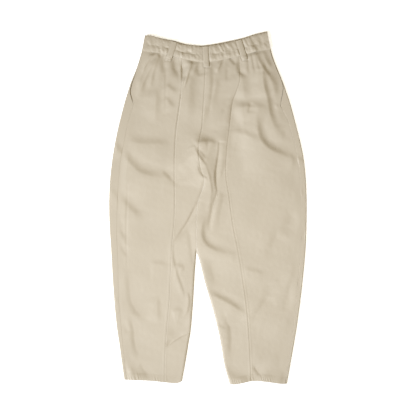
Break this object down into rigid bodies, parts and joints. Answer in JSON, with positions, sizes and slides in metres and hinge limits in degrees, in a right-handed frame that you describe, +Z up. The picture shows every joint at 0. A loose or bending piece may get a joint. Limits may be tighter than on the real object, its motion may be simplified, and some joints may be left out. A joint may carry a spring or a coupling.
{
  "type": "wide-leg pants",
  "caption": "Pull-on wide-leg trousers with a gathered elastic waist, belt loops, side pockets and full legs that narrow to the hems, laid flat.",
  "frame": {"origin": "centre of the laid garment's outline, on the surface it lies on", "axes": "+Y from the hems to the waist, +Z up away from the surface, +X across to the right as seen from above"},
  "size_m": [0.5592, 0.9999, 0.0096],
  "materials": {
    "cloth": "fine crepe weave with a soft sheen",
    "pocket_cloth": "plain weave"
  },
  "bodies": {
    "root": {"waistband_front": "cloth", "waistband_back": "cloth", "front_side_left": "cloth", "front_inner_left": "cloth", "front_inner_right": "cloth", "front_side_right": "cloth", "back_left": "cloth", "back_right": "cloth", "loop_front_left": "cloth", "loop_front_centre": "cloth", "loop_front_right": "cloth", "loop_back_left": "cloth", "loop_back_centre": "cloth", "loop_back_right": "cloth", "pocket_left": "pocket_cloth", "pocket_right": "pocket_cloth"}
  },
  "joints": []
}
